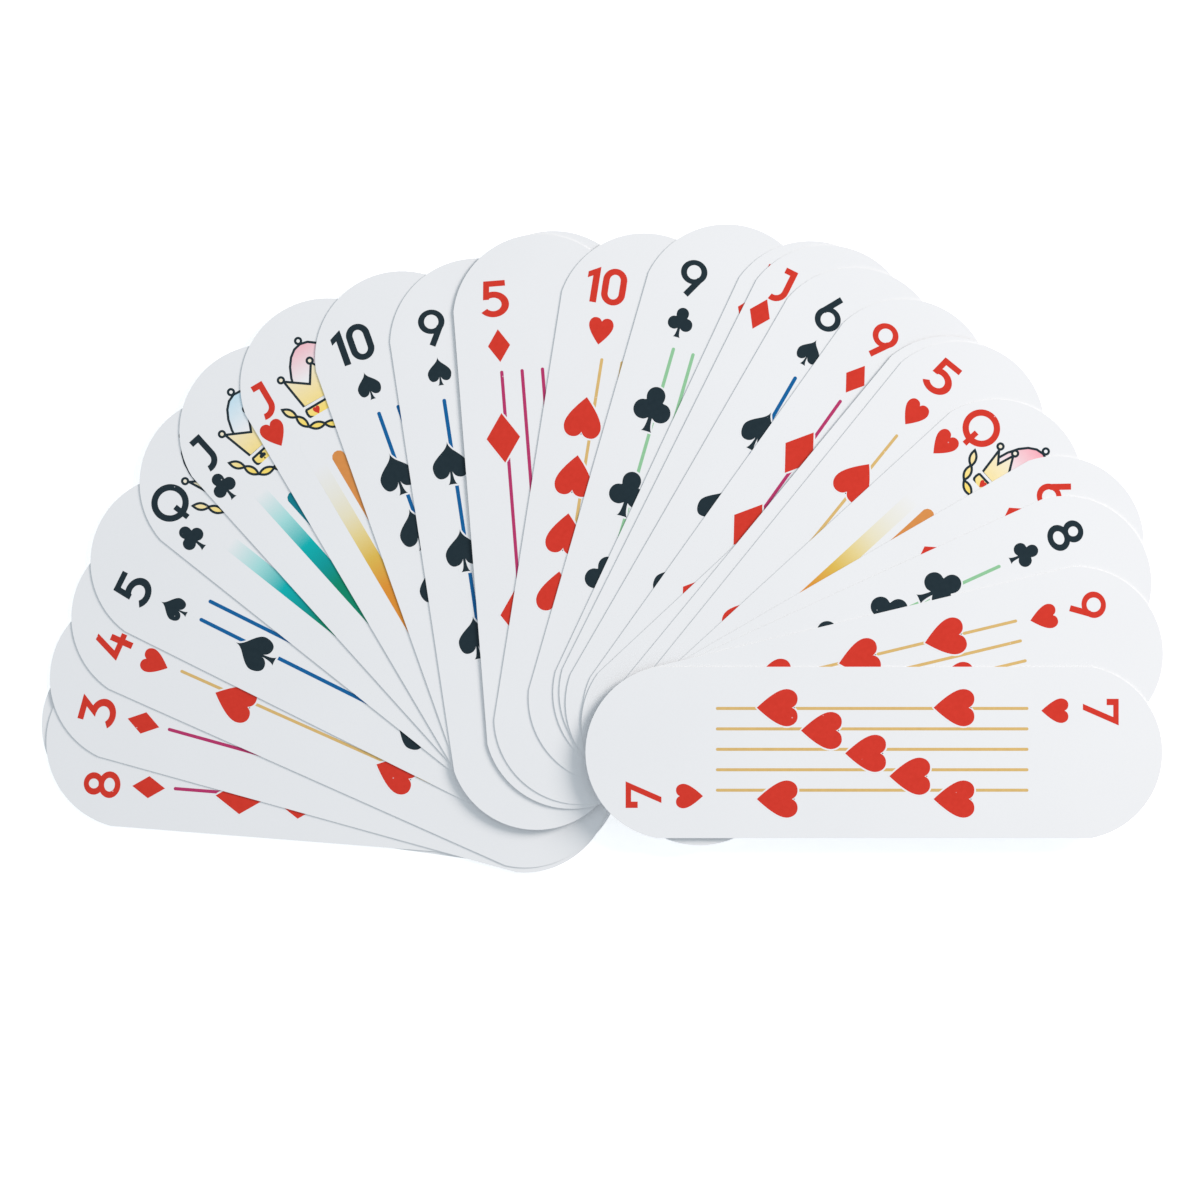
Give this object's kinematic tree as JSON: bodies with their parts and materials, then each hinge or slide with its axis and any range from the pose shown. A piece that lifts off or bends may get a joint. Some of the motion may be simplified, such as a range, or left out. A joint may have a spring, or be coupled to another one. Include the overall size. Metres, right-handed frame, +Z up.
{
  "type": "playing card deck",
  "caption": "Fan of long narrow playing cards with rounded ends. Each card turns about the grip at its inner end, so the fan opens wider or closes to a squared pack.",
  "frame": {"origin": "the grip: on the table, 6 mm in from the inner tip of the top card on its centre line", "axes": "+X along the top card from the grip to its outer tip, +Y across it to its left, +Z up from the table"},
  "size_m": [0.3736, 0.2162, 0.0093],
  "materials": {
    "card_stock": "coated paper, satin",
    "red_ink": "printed, satin",
    "dark_ink": "printed, satin",
    "tan_ink": "printed, satin",
    "magenta_ink": "printed, satin",
    "blue_ink": "printed, satin",
    "green_ink": "printed, satin",
    "yellow_ink": "printed, satin",
    "sky_ink": "printed, satin",
    "pink_ink": "printed, satin"
  },
  "bodies": {
    "seven_of_hearts": {"seven_of_hearts": "card_stock"},
    "nine_of_hearts": {"nine_of_hearts": "card_stock"},
    "eight_of_clubs": {"eight_of_clubs": "card_stock"},
    "six_of_diamonds": {"six_of_diamonds": "card_stock"},
    "queen_of_hearts": {"queen_of_hearts": "card_stock"},
    "five_of_hearts": {"five_of_hearts": "card_stock"},
    "seven_of_diamonds": {"seven_of_diamonds": "card_stock"},
    "three_of_clubs": {"three_of_clubs": "card_stock"},
    "nine_of_diamonds": {"nine_of_diamonds": "card_stock"},
    "six_of_spades": {"six_of_spades": "card_stock"},
    "jack_of_diamonds": {"jack_of_diamonds": "card_stock"},
    "king_of_diamonds": {"king_of_diamonds": "card_stock"},
    "nine_of_clubs": {"nine_of_clubs": "card_stock"},
    "ten_of_hearts": {"ten_of_hearts": "card_stock"},
    "five_of_diamonds": {"five_of_diamonds": "card_stock"},
    "eight_of_hearts": {"eight_of_hearts": "card_stock"},
    "nine_of_spades": {"nine_of_spades": "card_stock"},
    "ten_of_spades": {"ten_of_spades": "card_stock"},
    "jack_of_hearts": {"jack_of_hearts": "card_stock"},
    "jack_of_clubs": {"jack_of_clubs": "card_stock"},
    "queen_of_clubs": {"queen_of_clubs": "card_stock"},
    "five_of_spades": {"five_of_spades": "card_stock"},
    "four_of_hearts": {"four_of_hearts": "card_stock"},
    "three_of_diamonds": {"three_of_diamonds": "card_stock"},
    "eight_of_diamonds": {"eight_of_diamonds": "card_stock"},
    "two_of_spades": {"two_of_spades": "card_stock"}
  },
  "joints": [
    {"name": "two_of_spades_turn", "type": "hinge", "parent": "seven_of_hearts", "child": "two_of_spades", "pos_m": [-0.001, -0.0065, 0.00015], "axis": [0, 0, 1], "range_deg": [-172, 26]},
    {"name": "eight_of_diamonds_turn", "type": "hinge", "parent": "seven_of_hearts", "child": "eight_of_diamonds", "pos_m": [0, -0.0045, 0.00051], "axis": [0, 0, 1], "range_deg": [-175.5, 26.5]},
    {"name": "three_of_diamonds_turn", "type": "hinge", "parent": "seven_of_hearts", "child": "three_of_diamonds", "pos_m": [-0.001, -0.009, 0.00087], "axis": [0, 0, 1], "range_deg": [-164.5, 24.5]},
    {"name": "four_of_hearts_turn", "type": "hinge", "parent": "seven_of_hearts", "child": "four_of_hearts", "pos_m": [-0.0005, -0.01, 0.00123], "axis": [0, 0, 1], "range_deg": [-156, 23.5]},
    {"name": "five_of_spades_turn", "type": "hinge", "parent": "seven_of_hearts", "child": "five_of_spades", "pos_m": [0, -0.0035, 0.00159], "axis": [0, 0, 1], "range_deg": [-153.5, 23]},
    {"name": "queen_of_clubs_turn", "type": "hinge", "parent": "seven_of_hearts", "child": "queen_of_clubs", "pos_m": [0, -0.0045, 0.00195], "axis": [0, 0, 1], "range_deg": [-141.5, 21]},
    {"name": "jack_of_clubs_turn", "type": "hinge", "parent": "seven_of_hearts", "child": "jack_of_clubs", "pos_m": [-0.0015, -0.0065, 0.00231], "axis": [0, 0, 1], "range_deg": [-132, 20]},
    {"name": "jack_of_hearts_turn", "type": "hinge", "parent": "seven_of_hearts", "child": "jack_of_hearts", "pos_m": [-0.0025, -0.01, 0.00267], "axis": [0, 0, 1], "range_deg": [-120.5, 18]},
    {"name": "ten_of_spades_turn", "type": "hinge", "parent": "seven_of_hearts", "child": "ten_of_spades", "pos_m": [-0.0015, -0.0135, 0.00303], "axis": [0, 0, 1], "range_deg": [-109.5, 16.5]},
    {"name": "nine_of_spades_turn", "type": "hinge", "parent": "seven_of_hearts", "child": "nine_of_spades", "pos_m": [-0.001, -0.018, 0.00339], "axis": [0, 0, 1], "range_deg": [-98.5, 15]},
    {"name": "eight_of_hearts_turn", "type": "hinge", "parent": "seven_of_hearts", "child": "eight_of_hearts", "pos_m": [0.0015, -0.01, 0.00375], "axis": [0, 0, 1], "range_deg": [-93, 14]},
    {"name": "five_of_diamonds_turn", "type": "hinge", "parent": "seven_of_hearts", "child": "five_of_diamonds", "pos_m": [0.0015, -0.0105, 0.00411], "axis": [0, 0, 1], "range_deg": [-94.5, 14]},
    {"name": "ten_of_hearts_turn", "type": "hinge", "parent": "seven_of_hearts", "child": "ten_of_hearts", "pos_m": [0.001, -0.012, 0.00447], "axis": [0, 0, 1], "range_deg": [-81, 12]},
    {"name": "nine_of_clubs_turn", "type": "hinge", "parent": "seven_of_hearts", "child": "nine_of_clubs", "pos_m": [0.0015, -0.0035, 0.00483], "axis": [0, 0, 1], "range_deg": [-74, 11]},
    {"name": "king_of_diamonds_turn", "type": "hinge", "parent": "seven_of_hearts", "child": "king_of_diamonds", "pos_m": [0.002, 0.0015, 0.00519], "axis": [0, 0, 1], "range_deg": [-65, 10]},
    {"name": "jack_of_diamonds_turn", "type": "hinge", "parent": "seven_of_hearts", "child": "jack_of_diamonds", "pos_m": [0.0025, 0.003, 0.00555], "axis": [0, 0, 1], "range_deg": [-63.5, 9.5]},
    {"name": "six_of_spades_turn", "type": "hinge", "parent": "seven_of_hearts", "child": "six_of_spades", "pos_m": [0.0055, 0.0025, 0.00591], "axis": [0, 0, 1], "range_deg": [-60, 9]},
    {"name": "nine_of_diamonds_turn", "type": "hinge", "parent": "seven_of_hearts", "child": "nine_of_diamonds", "pos_m": [0.01, 0.0055, 0.00627], "axis": [0, 0, 1], "range_deg": [-54.5, 8]},
    {"name": "three_of_clubs_turn", "type": "hinge", "parent": "seven_of_hearts", "child": "three_of_clubs", "pos_m": [0.0105, 0.003, 0.00663], "axis": [0, 0, 1], "range_deg": [-43, 6.5]},
    {"name": "seven_of_diamonds_turn", "type": "hinge", "parent": "seven_of_hearts", "child": "seven_of_diamonds", "pos_m": [0.0195, 0.0095, 0.00699], "axis": [0, 0, 1], "range_deg": [-50.5, 7.5]},
    {"name": "five_of_hearts_turn", "type": "hinge", "parent": "seven_of_hearts", "child": "five_of_hearts", "pos_m": [0.0245, 0.013, 0.00735], "axis": [0, 0, 1], "range_deg": [-51, 7.5]},
    {"name": "queen_of_hearts_turn", "type": "hinge", "parent": "seven_of_hearts", "child": "queen_of_hearts", "pos_m": [0.03, 0.0105, 0.00771], "axis": [0, 0, 1], "range_deg": [-42.5, 6.5]},
    {"name": "six_of_diamonds_turn", "type": "hinge", "parent": "seven_of_hearts", "child": "six_of_diamonds", "pos_m": [0.024, 0.0235, 0.00807], "axis": [0, 0, 1], "range_deg": [-30, 4.5]},
    {"name": "eight_of_clubs_turn", "type": "hinge", "parent": "seven_of_hearts", "child": "eight_of_clubs", "pos_m": [0.0255, 0.02, 0.00843], "axis": [0, 0, 1], "range_deg": [-24.5, 3.5]},
    {"name": "nine_of_hearts_turn", "type": "hinge", "parent": "seven_of_hearts", "child": "nine_of_hearts", "pos_m": [0.0185, 0.0175, 0.00879], "axis": [0, 0, 1], "range_deg": [-13.5, 2]}
  ]
}
